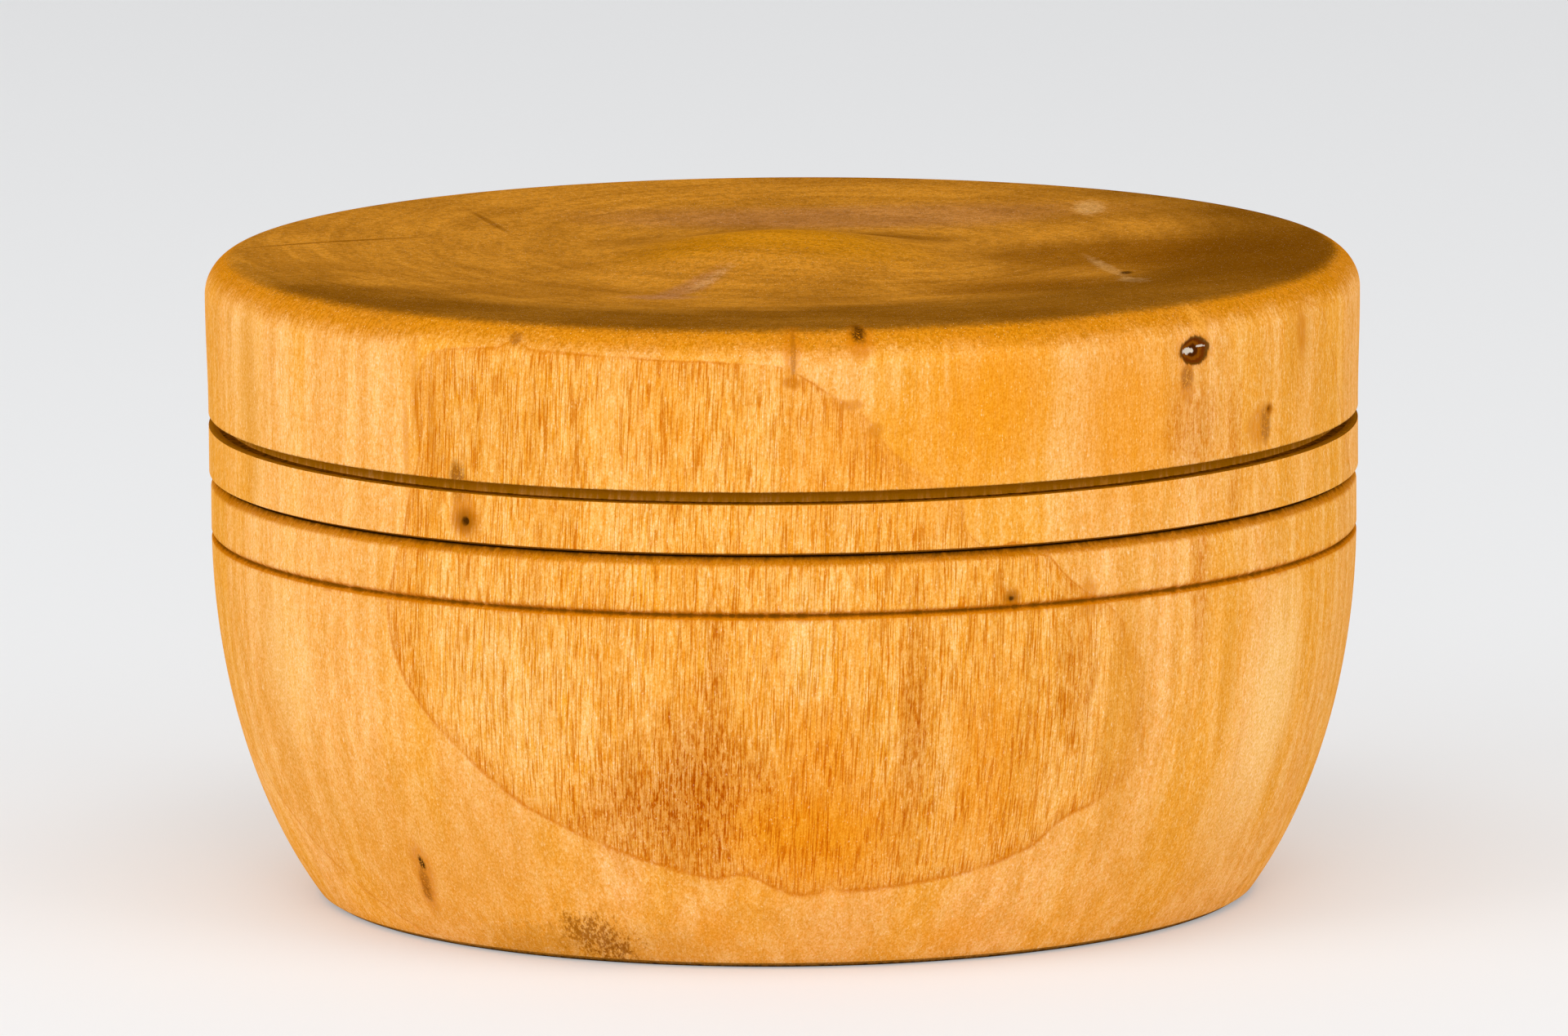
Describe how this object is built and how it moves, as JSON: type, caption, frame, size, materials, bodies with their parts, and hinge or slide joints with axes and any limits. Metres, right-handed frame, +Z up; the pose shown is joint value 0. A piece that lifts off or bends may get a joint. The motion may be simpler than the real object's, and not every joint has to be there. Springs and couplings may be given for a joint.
{
  "type": "shaving bowl",
  "caption": "Turned wooden shaving bowl with a curved belly, fine turned grooves, a lift-off lid with a softly dished top, and a cake of shaving soap inside.",
  "frame": {"origin": "centre of the foot, on the surface that the bowl stands on", "axes": "+Z up along the turning axis; +Y away from the viewer and +X to the right, set by the wood grain only"},
  "size_m": [0.105, 0.105, 0.0599],
  "materials": {
    "bowl_wood": "satin oiled fruitwood",
    "lid_wood": "satin oiled fruitwood, darker on the end grain of the top",
    "soap": "dull cream hard soap"
  },
  "bodies": {
    "bowl": {"bowl": "bowl_wood", "soap_puck": "soap"},
    "lid": {"lid": "lid_wood"}
  },
  "joints": [
    {"name": "lid_lift", "type": "slide", "parent": "bowl", "child": "lid", "axis": [0, 0, 1], "range_m": [0, 0.08]}
  ]
}
